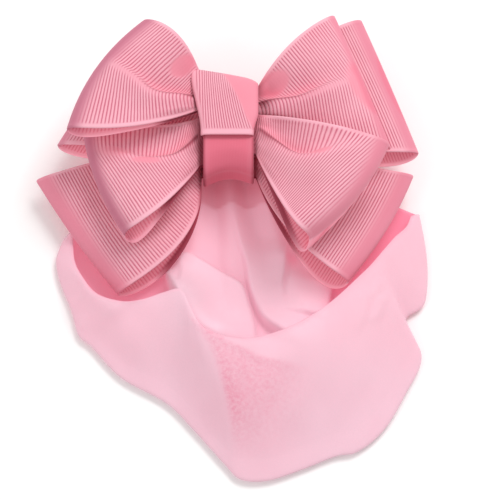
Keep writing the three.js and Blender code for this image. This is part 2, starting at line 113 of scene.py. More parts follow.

# One row for each loop, as in the solids, and with what shows on its front. Lines and places are
# [out from the middle, up] in millimetres. The mids and tips of top, crest and foot are shares of
# the reach, root is where top and foot leave the waist, as shares of its spread, and crest_at is
# the crest's place between them. bulge is how far the fold stands out at the crest. rise, tip and
# fold are, at top and foot, the height half way out, the height at the end and the fold's thickness.
# open says how the sheets part: how late, how far out they stand widest, how far at the top and
# the foot, and how far the back sheet's foot hangs below the front's.
# crest is where the cloth folds sharply. The ribs turn there over the width bend, and above and
# below are their lean in degrees from upright, near the waist and near the fold: a rib with a
# positive lean comes nearer the waist at its top. weigh is how much the ribs above count in the
# spacing. smooth is how far the ridge below the crest loses its ribs, and a loop with any of it
# has painted shade and a painted shadow in a cleft above the crest too. Then comes how dark the
# fold is painted in shade, and band says how wide the fold is.
# pleats lift the cloth beside the crest: (height, width above, width below, shift), and plain
# holds places with flat ribs: (out, up, half length, half width, turn in degrees, strength).
LOOPS = [
    dict(name="lower_back_left", tier=0, side=-1, reach=BACK_REACH, root=(0.08, -0.45),
        top_mid=(0.63, -0.065), top_tip=(1.12, -0.2), crest_mid=(0.46, -0.3), foot_mid=(0.25, -0.59),
        foot_tip=(0.636, -0.89), crest_at=0.5, rise=(0.1, 0.4), tip=(-0.05, -0.1), fold=(0.3, 0.5),
        open=(2, 2, 0.02, 0.35, 1.6), crest=[(7.6, -4), (15, -12), (25, -19), (36, -25)], bulge=0.7,
        weigh=0.3, smooth=0, bend=5, above=(-22, -27), below=(-56, -36), turned=0.35, band=5.4,
        pleats=[(0.7, 6, 6, 0)], plain=[]),
    dict(name="lower_back_right", tier=0, side=1, reach=BACK_REACH, root=(0.08, -0.45),
        top_mid=(0.653, -0.1), top_tip=(1.081, -0.175), crest_mid=(0.5, -0.31), foot_mid=(0.36, -0.56),
        foot_tip=(0.693, -0.827), crest_at=0.5, rise=(0.1, 0.42), tip=(0, 0.08), fold=(0.3, 0.4),
        open=(2, 2.6, 0.02, 0.46, 3.7), crest=[(7.6, -4), (15, -10), (25, -16), (36, -21)], bulge=1.4,
        weigh=0.3, smooth=0, bend=5, above=(-18, -24), below=(-44, -33), turned=0.35, band=5.2,
        pleats=[(0.7, 6, 6, 0)], plain=[]),
    dict(name="upper_back_left", tier=1, side=-1, reach=BACK_REACH, root=(0.8, -0.1),
        top_mid=(0.42, 0.49), top_tip=(0.613, 0.588), crest_mid=(0.52, 0.2), foot_mid=(0.571, -0.05),
        foot_tip=(0.995, -0.013), crest_at=0.5, rise=(0.3, 0.31), tip=(0.1, 0.13), fold=(0.28, 0.34),
        open=(1.5, 2, 0.08, 0.12, 2.4), crest=[(7.6, 7), (24, 9), (38, 12)], bulge=0.5, weigh=0.5,
        smooth=0, bend=5, above=(30, 34), below=(20, 30), turned=0.6, band=3.2, pleats=[], plain=[]),
    dict(name="upper_back_right", tier=1, side=1, reach=BACK_REACH, root=(0.7, -0.1),
        top_mid=(0.482, 0.601), top_tip=(0.788, 0.783), crest_mid=(0.57, 0.23),
        foot_mid=(0.652, -0.085), foot_tip=(1.109, -0.063), crest_at=0.5, rise=(0.32, 0.38),
        tip=(0.1, 0.12), fold=(0.28, 0.34), open=(1.5, 2.4, 0.08, 0.2, 2.4),
        crest=[(7.6, 6), (27, 11), (45, 15)], bulge=0.2, weigh=0.5, smooth=0, bend=5, above=(22, 24),
        below=(16, 20), turned=0.35, band=4.6, pleats=[], plain=[(46.5, 15, 13, 2.6, -66, 0.9)]),
    dict(name="lower_front_left", tier=2, side=-1, reach=FRONT_REACH, root=(0.32, -0.4),
        top_mid=(0.633, 0.04), top_tip=(1.055, 0.18), crest_mid=(0.63, -0.22), foot_mid=(0.441, -0.579),
        foot_tip=(0.734, -0.756), crest_at=0.4, rise=(0.55, 0.9), tip=(0.36, 0.5), fold=(0.26, 0.6),
        open=(2, 3.4, 0.1, 0.42, 1.9), crest=[(7.6, 1.4), (9.7, -2.5), (12.1, -5.8), (14.8, -7.9),
        (18.3, -9), (22.1, -9.3), (27, -8.2), (35, -6)], bulge=2.4, weigh=0.2, smooth=0.3, bend=0.9,
        above=(16, -4), below=(-46, -31), turned=1, band=5.2,
        pleats=[(2.8, 1.1, 6, 0), (-1.3, 5, 2.2, 2.6)],
        plain=[(22, -9.9, 4.2, 1.1, 3, 0.85), (31, -6.4, 5, 1.6, 10, 0.5)]),
    dict(name="upper_front_right", tier=2, side=1, reach=FRONT_REACH, root=(0.74, 0.34),
        top_mid=(0.45, 0.635), top_tip=(0.77, 0.923), crest_mid=(0.67, 0.27), foot_mid=(0.696, -0.022),
        foot_tip=(1.163, -0.101), crest_at=0.6, rise=(0.9, 0.65), tip=(0.5, 0.45), fold=(0.32, 0.4),
        open=(1.5, 2, 0.4, 0.1, 0), crest=[(7.6, 9.8), (11.5, 9.3), (14.2, 9), (19.5, 8.9),
        (24.8, 10.5), (29.2, 12.6), (32.5, 14.2), (38, 17)], bulge=0.3, weigh=0.5, smooth=0.8, bend=0.7,
        above=(47, 34), below=(3, 15), turned=0.3, band=4,
        pleats=[(2.7, 1.1, 5.5, 0), (-1.4, 4.5, 2, 2.8)],
        plain=[(12.4, 14.6, 5.2, 3.4, 20, 0.95), (37.6, 13, 8.5, 4.6, -62, 0.9)]),
    dict(name="upper_front_left", tier=3, side=-1, reach=FRONT_REACH, root=(0.92, 0.4),
        top_mid=(0.37, 0.672), top_tip=(0.61, 0.795), crest_mid=(0.66, 0.24), foot_mid=(0.656, -0.058),
        foot_tip=(1.14, -0.039), crest_at=0.6, rise=(1, 1.18), tip=(0.95, 1), fold=(0.4, 0.55),
        open=(2.6, 4, 0.2, 0.12, 0.5), crest=[(7.6, 10.4), (13, 8.8), (17.6, 7.9), (21.3, 8.5),
        (25.6, 12), (31.2, 16.3), (35, 19.5)], bulge=3, weigh=0.5, smooth=1, bend=0.7, above=(34, 49),
        below=(-22, 15), turned=1, band=6, pleats=[(3, 1.1, 6, 0), (-1.4, 5, 2.2, 2.8)],
        plain=[(12.6, 18, 4.6, 2.3, -43, 0.95)]),
    dict(name="lower_front_right", tier=3, side=1, reach=FRONT_REACH, root=(0.3, -0.3),
        top_mid=(0.69, -0.035), top_tip=(1.142, -0.162), crest_mid=(0.68, -0.28),
        foot_mid=(0.404, -0.662), foot_tip=(0.579, -0.837), crest_at=0.4, rise=(1.1, 1.05),
        tip=(1, 0.8), fold=(0.4, 0.7), open=(2, 2.4, 0.2, 0.55, 3), crest=[(7.6, 2), (10.9, -2.5),
        (14.1, -6.2), (17, -9), (20, -10.6), (23.5, -10.6), (27.5, -9.4), (32, -8.2), (38, -7)],
        bulge=2.4, weigh=0.2, smooth=0.3, bend=0.9, above=(10, -44), below=(-34, -45), turned=0.3,
        band=5.8, pleats=[(2.9, 1.1, 7, 0), (-1.4, 4.5, 2.2, 2.6)],
        plain=[(25, -9.4, 3.4, 1.2, 10, 0.9), (35.5, -2.4, 6, 2.4, -18, 0.8)]),
]

# One row for each section of the bag, from its left end to its right end: the rim and the edge
# as shares of the bag's reach and drop, and the lift as a share of its loft.
BAG_RIM = [
    (-0.84, -0.235), (-0.825, -0.335), (-0.77, -0.405), (-0.69, -0.46), (-0.56, -0.485),
    (-0.45, -0.482), (-0.343, -0.467), (-0.247, -0.46), (-0.199, -0.507), (-0.14, -0.567),
    (-0.04, -0.6), (0.097, -0.612), (0.234, -0.596), (0.371, -0.563), (0.499, -0.516), (0.596, -0.466),
    (0.683, -0.415), (0.76, -0.369), (0.831, -0.318), (0.898, -0.271), (0.96, -0.234), (0.99, -0.192),
]
BAG_LIFT = [
    0.02, 0.22, 0.45, 0.58, 0.66, 0.72, 0.8, 0.86, 0.9, 0.94, 1, 1, 0.96, 0.92, 0.84, 0.72, 0.6,
    0.5, 0.4, 0.3, 0.18, 0.02,
]
BAG_EDGE = [
    (-0.89, -0.262), (-0.924, -0.321), (-0.901, -0.388), (-0.836, -0.477), (-0.796, -0.549),
    (-0.72, -0.587), (-0.562, -0.678), (-0.322, -0.753), (-0.167, -0.838), (-0.014, -0.932),
    (0.071, -0.976), (0.212, -0.979), (0.391, -0.947), (0.565, -0.909), (0.686, -0.894), (0.825, -0.83),
    (0.94, -0.726), (1.029, -0.616), (0.948, -0.507), (1.052, -0.452), (1.07, -0.324), (1.035, -0.184),
]

# The main folds of the front: start and end as [across, down], height and width as shares.
BAG_FOLDS = [
    ((0.36, 0), (0.5, 0.85), 0.22, 0.5),
    ((0.12, 0.1), (0.3, 0.8), 0.16, 0.45),
    ((0.62, 0.05), (0.7, 0.8), 0.2, 0.5),
    ((0.84, 0.1), (0.8, 0.75), 0.14, 0.4),
]

# Folds inside the bag, in millimetres: how high a fold stands, how far it falls away on the left and
# the right of its line, how soon it grows and fades along it as shares, and the line.
INNER_FOLDS = [
    (3.6, 0.8, 14, 0.1, 0.05, [(-17, -30.5), (-11.8, -29.6), (-7.7, -31.7), (-3.5, -34), (0, -36.5),
     (3.3, -38.7), (5.2, -44.2), (6.6, -50.3), (7.4, -58)]),
    (4.2, 10, 0.9, 0.6, 0.3, [(1, -13), (3.3, -24.1), (5.5, -32.2), (6.3, -38), (7.8, -43),
     (10.1, -47.7), (14.9, -51.7), (20, -55), (27, -57.5)]),
    (1.9, 1, 7, 0.3, 0.6, [(15.9, -24), (15.3, -32.6), (14.4, -38.7), (15.2, -46)]),
    (2.2, 0.6, 10, 0.3, 0.1, [(29, -34), (28, -39.3), (27.4, -42.3), (26.6, -48)]),
]

# Where the front carries the inside of the bag up with it: height, place and reach, and the line
# along which the left fold runs into the rim, with its side and its height from start to end.
INNER_RISES = [(3.5, (2, -60), (9, 9)), (3, (20, -56), (9, 9))]
RIM_JOIN = dict(side=[(-18.5, -30), (-17.2, -35), (-15.6, -39.5), (-14.2, -43.5), (-13.5, -49)],
                line=[(-16, -42.5), (-12.6, -43.9), (-11.3, -46.2), (-10.2, -48.4), (-8.9, -50.6),
                      (-7, -53), (-3.5, -55.2)],
                height=(13.6, 15.2), reach=7.5)

# Places on the bag that look unlike the rest, as place and reach: where the rim runs into the left
# fold, a deep hollow painted in shade, and the part of the inside that is lit as the front is.
RIM_MERGE = ((-11.6, -47), (2.6, 4.4))
HOLLOW = ((17.6, -30.5), (2.2, 2.6))
LIT_INSIDE = ((-12, -44), (8.3666, 8.3666))

# Soft creases over the front of the bag, as for the inside.
OUTER_FOLDS = [
    (0.35, 6, 3, 0.15, 0.6, [(-8.7, -53.9), (-4.7, -59.7), (-1.5, -68.9), (0.7, -78.1), (1.2, -88)]),
    (0.8, 5, 1.3, 0.15, 0.5,
     [(-12, -50.5), (-3.4, -56.7), (3.3, -60.3), (9.2, -63), (15.4, -63.9), (21, -65)]),
    (1, 1.2, 3, 0.3, 0.7, [(34, -40), (37.1, -46), (35.5, -52), (31, -58)]),
    (0.8, 1.2, 1.2, 0.3, 0.4, [(41.7, -38), (40.7, -41.1), (39.1, -43.1), (37.1, -45.5)]),
    (0.8, 1.2, 1.8, 0.3, 0.5, [(43, -42), (41.7, -44.6), (40.1, -49.4), (36.3, -51)]),
    (0.7, 5, 4, 0.3, 0.5, [(-38, -36), (-30, -52), (-14, -66)]),
    (1, 4, 0.7, 0.2, 0.3, [(-43.5, -42), (-41.5, -47), (-38, -52.5)]),
    (0.6, 6, 4, 0.4, 0.5, [(14, -70), (22, -78), (30, -86)]),
]


def lerp(start, end, share):
    return start + (end - start) * share


def soft_step(low, high, value):
    share = np.clip((value - low) / (high - low), 0, 1)
    return share * share * (3 - 2 * share)


def hump(value, centre, width):
    """A smooth bump of height 1 round a centre."""
    return np.exp(-((value - centre) / width) ** 2)


def spot(x, y, place, reach):
    """A smooth bump of height 1 round a place."""
    return hump(x, place[0], reach[0]) * hump(y, place[1], reach[1])


def through_three(first, second, third, middle, share):
    """A parabola through three values at 0, middle and 1."""
    a = (share - middle) * (share - 1) / middle
    b = share * (share - 1) / (middle * (middle - 1))
    c = share * (share - middle) / (1 - middle)
    return first * a + second * b + third * c


def along_list(values, share):
    """A smooth value along a list, through each entry at equal spacing."""
    values = np.asarray(values, float)
    place = share * (len(values) - 1)
    index = np.clip(np.floor(place).astype(int), 0, len(values) - 2)
    t = place - index
    before = values[np.maximum(index - 1, 0)]
    start, end = values[index], values[index + 1]
    after = values[np.minimum(index + 2, len(values) - 1)]
    bend = 2 * before - 5 * start + 4 * end - after
    twist = 3 * (start - end) + after - before
    return 0.5 * (2 * start + t * (end - before + t * (bend + t * twist)))


def rounded_fold(share, bluntness):
    return np.sqrt(np.maximum(0, 1 - share ** bluntness))


def toward_fold(count):
    return np.sin(np.linspace(0, math.pi / 2, count + 1))


def run_length(points, axis):
    """How far each point is along a grid's lines, in the grid's own unit."""
    steps = np.linalg.norm(np.diff(points, axis=axis), axis=2)
    total = np.cumsum(steps, axis=axis)
    start = np.zeros_like(np.take(total, [0], axis=axis))
    return np.concatenate([start, total], axis=axis)


def cloth_shell(name, points, wall, marks):
    """A closed sheet of cloth round a grid of points in millimetres, with a rounded rim and with
    marks, which are values at each point that its material reads."""
    rows, columns = points.shape[:2]
    along = np.gradient(points, axis=0)
    across = np.gradient(points, axis=1)
    normal = np.cross(along, across)
    normal /= np.maximum(np.linalg.norm(normal, axis=2, keepdims=True), 1e-9)
    front = (points + normal * wall / 2).reshape(-1, 3)
    back = (points - normal * wall / 2).reshape(-1, 3)
    index = np.arange(rows * columns).reshape(rows, columns)
    border = np.concatenate([index[:-1, 0], index[-1, :-1], index[:0:-1, -1], index[0, :0:-1]])
    inner_row = np.clip(border // columns, 1, rows - 2)
    inner_column = np.clip(border % columns, 1, columns - 2)
    flat = points.reshape(-1, 3)
    outward = flat[border] - flat[inner_row * columns + inner_column]
    outward /= np.maximum(np.linalg.norm(outward, axis=1, keepdims=True), 1e-9)
    rim = flat[border] + outward * wall / 2
    count = rows * columns
    a, b = index[:-1, :-1].ravel(), index[1:, :-1].ravel()
    c, d = index[1:, 1:].ravel(), index[:-1, 1:].ravel()
    edge = np.arange(len(border))
    after = np.roll(edge, -1)
    rim_index = 2 * count + edge
    rim_after = 2 * count + after
    faces = np.concatenate([
        np.stack([a, b, c, d], 1),
        np.stack([d, c, b, a], 1) + count,
        np.stack([border[after], border, rim_index, rim_after], 1),
        np.stack([rim_after, rim_index, border + count, border[after] + count], 1),
    ])
    mesh = bpy.data.meshes.new(name)
    mesh.from_pydata((np.concatenate([front, back, rim]) * MM).tolist(), [], faces.tolist())
    for label, values in marks.items():
        values = np.broadcast_to(values, (rows, columns)).ravel()
        layer = mesh.attributes.new(label, "FLOAT", "POINT")
        values = np.concatenate([values, values, values[border]])
        layer.data.foreach_set("value", values.astype(np.float32))
    mesh.shade_smooth()
    mesh.validate()
    piece = bpy.data.objects.new(name, mesh)
    bpy.context.scene.collection.objects.link(piece)
    return piece


def flat_area(points):
    """The area of one layer of a grid in millimetres, in square metres."""
    a = points[1:, 1:] - points[:-1, :-1]
    b = points[1:, :-1] - points[:-1, 1:]
    return float(np.linalg.norm(np.cross(a, b), axis=2).sum() / 2) * MM * MM


# ---- folds and creases

def smooth_route(points, steps):
    """Points at even spacing on a smooth curve through the given ones."""
    points = np.asarray(points, float)
    points = np.concatenate([[2 * points[0] - points[1]], points, [2 * points[-1] - points[-2]]])
    fine = []
    for i in range(1, len(points) - 2):
        p = points[i - 1:i + 3]
        knots = np.concatenate([[0], np.cumsum(np.sqrt(np.linalg.norm(np.diff(p, axis=0), axis=1)))])
        t = np.linspace(knots[1], knots[2], 40, endpoint=i == len(points) - 3)[:, None]

        def between(a, b, start, end):
            return a * (end - t) / (end - start) + b * (t - start) / (end - start)

        first = [between(p[k], p[k + 1], knots[k], knots[k + 1]) for k in range(3)]
        second = [between(first[k], first[k + 1], knots[k], knots[k + 2]) for k in range(2)]
        fine.append(between(second[0], second[1], knots[1], knots[2]))
    fine = np.concatenate(fine)
    length = np.concatenate([[0], np.cumsum(np.linalg.norm(np.diff(fine, axis=0), axis=1))])
    at = np.linspace(0, length[-1], steps + 1)
    return np.stack([np.interp(at, length, fine[:, k]) for k in range(2)], 1)


def beside_line(x, y, line):
    """How far each place is to the left of a line, in millimetres, and its share along the line."""
    line = smooth_route(line, 48)
    starts = np.linspace(0, 1, len(line))
    best = np.full(np.broadcast(x, y).shape, 1e9)
    signed, share = np.zeros(best.shape), np.zeros(best.shape)
    for k, (a, b) in enumerate(zip(line[:-1], line[1:])):
        d = b - a
        t = np.clip(((x - a[0]) * d[0] + (y - a[1]) * d[1]) / (d @ d), 0, 1)
        off_x, off_y = x - a[0] - t * d[0], y - a[1] - t * d[1]
        far = np.hypot(off_x, off_y)
        nearer = far < best
        best = np.where(nearer, far, best)
        signed = np.where(nearer, np.sign(d[0] * off_y - d[1] * off_x) * far, signed)
        share = np.where(nearer, starts[k] + t * (starts[k + 1] - starts[k]), share)
    return signed, share


def fold_height(signed, share, height, left, right, grow, fade):
    """A fold along a line: how high it lifts the cloth, on its left side and on its right."""
    along = soft_step(0, grow, share) * (1 - soft_step(1 - fade, 1, share))
    width = np.where(signed > 0, left, right)
    return height * along * hump(signed, 0, width)


# ---- ribbon loops

def loop_rails(loop, out):
    """The places [out, up] of a loop's top, crest and foot, at a share of the way to its fold."""
    reach = loop["reach"]
    root_out = WAIST_WIDTH / 2 + SEAT_GAP
    root_top, root_foot = [share * WAIST_SPREAD for share in loop["root"]]
    root_crest = lerp(root_top, root_foot, loop["crest_at"])
    top, foot = loop["top_tip"], loop["foot_tip"]
    down_fold = [foot[k] - top[k] for k in (0, 1)]
    bulge = loop["bulge"] / reach / math.hypot(*down_fold)
    crest = [lerp(top[k], foot[k], loop["crest_at"]) for k in (0, 1)]
    crest = [crest[0] - bulge * down_fold[1], crest[1] + bulge * down_fold[0]]
    return [
        [through_three(start, mid[k] * reach, tip[k] * reach, 0.5, out)
         for k, start in enumerate((root_out, root_up))]
        for root_up, mid, tip in ((root_top, loop["top_mid"], top),
                                  (root_crest, loop["crest_mid"], crest),
                                  (root_foot, loop["foot_mid"], foot))
    ]


def pleats_lift(loop, out, across, place):
    """How high a loop's pleats lift its front sheet. They fade at the waist, the fold and the edges."""
    signed, share = beside_line(*place, loop["crest"])
    lift = 0
    for height, above, below, shift in loop["pleats"]:
        lift = lift + fold_height(signed - shift, share, height, above, below, 0.1, 0.55)
    inside = soft_step(0, 0.1, across) * soft_step(1, 0.9, across)
    return lift * inside * (1 - soft_step(0.82, 0.97, out)) * soft_step(0, 0.16, out)


def loop_points(loop, out, across, sheet):
    """Points of a loop at shares of the way out and across. Sheet is 1 in front and -1 behind."""
    rails = loop_rails(loop, out)
    place = [through_three(*[rail[k] for rail in rails], loop["crest_at"], across) for k in (0, 1)]
    late, lean, gape_top, gape_foot, lip = loop["open"]
    swell = np.sin(math.pi * out ** lean)
    rise = through_three(0, lerp(*loop["rise"], across), lerp(*loop["tip"], across), 0.5, out)
    thick = lerp(LAYER_PITCH, BOW_LOFT * lerp(*loop["fold"], across), out ** late)
    apart = thick + BOW_LOFT * lerp(gape_top, gape_foot, across) * swell
    root_height = LOWEST_LAYER + (2 * loop["tier"] + 1) * LAYER_PITCH
    from_front = apart / 2 * (1 - sheet * rounded_fold(out, LOOP_BLUNTNESS))
    height = root_height + BOW_LOFT * rise - from_front
    gather = soft_step(0, 0.05, out) * np.exp(-out / 0.2)
    height = height + WAIST_RIPPLE * gather * np.sin(across * 19 + loop["tier"] * 2 + 3 * out)
    place = [value + 0 * height for value in place]
    height = height + np.where(sheet > 0, pleats_lift(loop, out, across, place), 0)
    hang = np.where(sheet < 0, lip * across ** 2 * np.maximum(0, swell) ** 0.6, 0)
    return np.stack([loop["side"] * place[0], place[1] - hang, height], -1)


def loop_grid(loop):
    """A loop's points from the waist over its front to the fold and back, and the fold's row."""
    steps = toward_fold(110)
    out = np.concatenate([steps, steps[:-1][::-1]])[:, None]
    sheet = np.concatenate([np.ones(len(steps)), -np.ones(len(steps) - 1)])[:, None]
    # The right loops run the other way across, so that their faces point outwards too.
    across = np.linspace(0, 1, 81)[None, ::-loop["side"]]
    grid = loop_points(loop, out, across, sheet)
    neck = np.linspace(WAIST_SLOT / 2, abs(grid[0, 0, 0]), 7)[:-1]

    def neck_rows(row):
        rows = np.repeat(row[None], len(neck), axis=0)
        rows[:, :, 0] = loop["side"] * neck[:, None]
        return rows

    grid = np.concatenate([neck_rows(grid[0]), grid, neck_rows(grid[-1])[::-1]])
    return grid, len(neck) + len(steps) - 1


def bent(distance, width):
    """A straight line's value on its positive side only, with a bend of some width at zero."""
    return width * np.logaddexp(0, distance / width)


def rib_count(loop, points, pitch):
    """How many ribs lie between the waist and each point, where each rib bends at the crest."""
    line = smooth_route(loop["crest"], 80)
    out = loop["side"] * points[..., 0]
    up = points[..., 1]
    near, far = line[0, 0], line[-1, 0]
    # Each round brings the guess for where a point's rib meets the crest part of the way nearer.
    foot = out.copy()
    for _ in range(40):
        beyond = up - np.interp(foot, line[:, 0], line[:, 1])
        share = np.clip((foot - near) / (far - near), 0, 1)
        above, below = [np.tan(np.radians(lerp(*loop[part], share))) for part in ("above", "below")]
        shift = above * bent(beyond, loop["bend"]) - below * bent(-beyond, loop["bend"])
        foot = 0.6 * foot + 0.4 * (out + shift)
    along = np.linspace(-20, 90, 600)
    share = np.clip((along - near) / (far - near), 0, 1)
    slope = np.gradient(np.interp(along, line[:, 0], line[:, 1]), along)
    spacing = 0
    for part, weight in (("above", loop["weigh"]), ("below", 1 - loop["weigh"])):
        lean = np.radians(lerp(*loop[part], share))
        spacing = spacing + weight * (np.cos(lean) + slope * np.sin(lean))
    total = np.concatenate([[0], np.cumsum((spacing[1:] + spacing[:-1]) / 2 * np.diff(along))])
    return np.interp(foot, along, total) / pitch


def pulled_plain(loop, points):
    """Where a loop's ribs are pulled flat, from 0 to 1."""
    plain = 0
    for out, up, long, wide, turn, strength in loop["plain"]:
        x, y = loop["side"] * points[..., 0] - out, points[..., 1] - up
        c, s = math.cos(math.radians(turn)), math.sin(math.radians(turn))
        away = ((x * c + y * s) / long) ** 2 + ((y * c - x * s) / wide) ** 2
        plain = np.maximum(plain, strength * (1 - soft_step(0.45, 1.25, away)))
    return plain


def loop_marks(loop, grid, fold_row, pitch):
    """The marks of a loop's ribbon, most of them from 0 to 1."""
    wide = run_length(grid, 1)
    from_edge = np.minimum(wide, wide[:, -1:] - wide)
    from_top = wide if loop["side"] < 0 else wide[:, -1:] - wide
    length = run_length(grid, 0)
    from_fold = np.abs(length - length[fold_row][None])
    outer = (np.arange(len(grid)) <= fold_row)[:, None]
    selvedge = np.where(from_top < wide[:, -1:] / 2, *SELVEDGES)
    ribbed = soft_step(selvedge, selvedge + SELVEDGE_BLEND, from_edge)
    band = np.where(outer, loop["band"], INNER_BAND)
    folded = 1 - soft_step(loop["band"] * 0.5, loop["band"] * 1.25, from_fold)
    signed, share = beside_line(loop["side"] * grid[..., 0], grid[..., 1], loop["crest"])
    creased = 1 if loop["smooth"] else 0
    # Painted shade in the valley above the crest.
    valley = creased * hump(signed, *VALLEY) * (1 - soft_step(0.35, 0.8, share))
    # Painted shadow in the narrow cleft above the crest, and beside the knot.
    cleft = creased * hump(signed, *CLEFT) * (1 - soft_step(0.25, 0.6, share))
    ridge = loop["smooth"] * hump(signed, *RIDGE) * soft_step(0.3, 0.5, share)
    ridge = ridge * (1 - soft_step(0.9, 1, share))
    # Painted shade grows deeper near the knot.
    from_knot = np.maximum(0, abs(grid[..., 0]) - WAIST_WIDTH / 2)
    near_knot = np.exp(-from_knot / KNOT_SHADE)
    cleft = np.maximum(cleft * soft_step(0, 0.06, share), hump(from_knot, 0, KNOT_CLEFT))
    # Painted shadow along the back sheet's edges near the waist: a dark crack where it shows below the
    # front.
    closed = soft_step(21, 15, abs(grid[..., 0])) * soft_step(2, 1, from_edge)
    plain = np.where(outer, pulled_plain(loop, grid), 0)
    weave = ribbed * (1 - plain) * soft_step(band * 0.55, band * 1.25, from_fold)
    # The front is painted in shade in the valley above the crest and along the fold, the more where the
    # fold's own shade is light.
    front_shade = 0.75 * valley + 0.9 * (1 - loop["turned"]) * folded
    return {
        "rib": rib_count(loop, grid, pitch),
        "weave": weave * np.where(outer, 1 - ridge, 1),
        # Painted shade on the fold, lighter on the inner sheet.
        "turned": loop["turned"] * folded * np.where(outer, 1, 0.4),
        "edge": 1 - ribbed,
        # A deeper pink where the ribs are pulled flat, with painted shade near the knot and on the
        # front.
        "rich": np.clip(plain * 0.6 + 0.75 * near_knot + np.where(outer, front_shade, 0), 0, 1),
        "seam": np.where(outer, cleft, np.maximum(closed, cleft)),
        # Inside a loop the cloth is painted in shade and given a painted glow of light through it.
        "inside": np.where(outer, 0, soft_step(0, 1.2, from_fold)),
    }


def ribbon_piece(name, node, grid, marks, cut, settings):
    """A piece of ribbon in place of one of the solids. The width in metres that it is cut to is not
    used.
    """
    unmarked = dict(turned=0, edge=0, seam=0, inside=0)
    piece = cloth_shell(name, grid, settings.thickness / MM, unmarked | marks)
    piece.data.materials.append(grosgrain(settings))
    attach(piece, "root")
    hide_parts(node)
    flat_area(grid) / cut


def ribbon_loop(loop, settings):
    grid, fold_row = loop_grid(loop)
    marks = loop_marks(loop, grid, fold_row, settings.rib_pitch / MM)
    ribbon_piece(loop["name"] + "_ribbon", loop["name"] + "_loop", grid, marks, LOOP_CUT, settings)


# ---- knot

def strip_points(route, roll, steps, stripes, half_width, slant):
    """A strip along a route of [y, z] points, whose side runs from -1 to 1 across it."""
    path = smooth_route(route, steps)
    run = np.gradient(path, axis=0)
    run /= np.linalg.norm(run, axis=1, keepdims=True)
    share = np.linspace(0, 1, steps + 1)[:, None]
    side = np.linspace(-1, 1, stripes + 1)[None, :]
    up = path[:, :1]
    rolled = roll * share * (1 - np.sqrt(np.maximum(0, 1 - side ** 8)))
    return np.stack([
        side * half_width(up, side) + 0 * rolled,
        up - slant(share, side) - rolled * run[:, 1:2],
        path[:, 1:2] + rolled * run[:, :1],
    ], -1)


def knot_cover(settings):
    top = STACK_TOP + 2 * LAYER_PITCH
    under = LOWEST_LAYER + LAYER_PITCH / 2
    behind = CLIP_WIDTH / 2 + SEAT_GAP
    bend = COVER_REACH + COVER_BEND * 0.6
    route = [
        (behind + RIBBON_WALL / 2, CLIP_HEIGHT / 2), (behind + LAYER_PITCH, under),
        (COVER_REACH, under), (bend, lerp(under, top, 0.3)),
        (bend, lerp(under, top, 0.75)), (COVER_REACH - 0.4, top),
        (COVER_REACH / 2, top + COVER_CROWN), (-RIBBON_WALL * 1.2, top + COVER_CROWN * 0.4),
    ]

    def half_width(up, side):
        left = 7.2 + 2.7 * soft_step(-0.5, 13.5, up)
        right = 6.8 + 1.3 * soft_step(-1, 8, up)
        return np.where(side < 0, left, right)

    def slant(share, side):
        corner = 0.9 * np.maximum(0, side - 0.5) ** 2 * 4
        return (0.5 * COVER_SKEW * side + corner) * np.sin(math.pi * share ** 2) ** 2

    grid = strip_points(route, COVER_ROLL, 130, 70, half_width, slant)
    x, y = grid[..., 0], grid[..., 1]
    length, wide = run_length(grid, 0), run_length(grid, 1)
    to_end = length[-1:] - length
    from_left = wide
    from_edge = np.minimum(wide, wide[:, -1:] - wide)
    beside, _ = beside_line(x, y, PLAIN_CORNER)
    corner = soft_step(-0.4, 0.6, beside)
    fan = np.tan(np.radians(lerp(2, 21, np.clip((x + 7) / 14, 0, 1))))
    ribbed = soft_step(1.2, 1.9, to_end) * soft_step(1, 1.7, from_left)
    marks = {
        "rib": (x + fan * (y + 1)) / (settings.rib_pitch / MM) * 1.02,
        "weave": ribbed * soft_step(0.15, 0.7, from_edge) * (1 - corner),
        # Painted shade along the cover's edges.
        "turned": 0.2 * hump(from_edge, 0, 0.6),
        "edge": np.maximum(1 - soft_step(1, 1.7, to_end), 0.8 * (1 - soft_step(0.9, 1.6, from_left))),
        # A deeper pink where the ribs lie flat in the corner.
        "rich": 0.6 * corner,
    }
    ribbon_piece("knot_front", "knot_cover", grid, marks, KNOT_CUT, settings)


def knot_band(settings):
    top = STACK_TOP + LAYER_PITCH
    lower = -BAND_REACH
    under = LOWEST_LAYER - LAYER_PITCH
    route = [
        (BAND_TUCK, top), (lower * 0.6, top), (lower, top - BAND_TUCK), (lower, (top + under) / 2),
        (lower, under + LAYER_PITCH), (lower * 0.85, under),
        (-CLIP_WIDTH / 2 - SEAT_GAP - RIBBON_WALL / 2, under - RIBBON_WALL),
    ]

    def half_width(up, side):
        return np.where(side < 0, 6.5, 6.8) + 0 * up

    def slant(share, side):
        sag = -0.4 * side - 2.2 * (1 - side ** 2)
        return sag * soft_step(0.12, 0.45, share) * soft_step(1, 0.8, share)

    grid = strip_points(route, RIBBON_WALL / 2, 90, 50, half_width, slant)
    wide = run_length(grid, 1)
    from_edge = np.minimum(wide, wide[:, -1:] - wide)
    marks = {
        "rib": wide / (settings.rib_pitch / MM),
        "weave": 0.06 * soft_step(0.6, 1.4, from_edge),
        # Painted shade all over the wrap, which lies under the cover.
        "rich": 1 + 0.2 * soft_step(0.3, 2.4, from_edge),
        # Painted shadow over the wrap under the cover, darkest in lines along its edges.
        "seam": 0.24 + 0.5 * hump(from_edge, 0, 0.35),
    }
    ribbon_piece("knot_wrap", "knot_band", grid, marks, KNOT_CUT, settings)


# ---- bag

def folds_height(x, y, folds):
    """How high a set of folds lifts the cloth at each place, in millimetres."""
    height = 0
    for *shape, line in folds:
        height = height + fold_height(*beside_line(x, y, line), *shape)
    return height


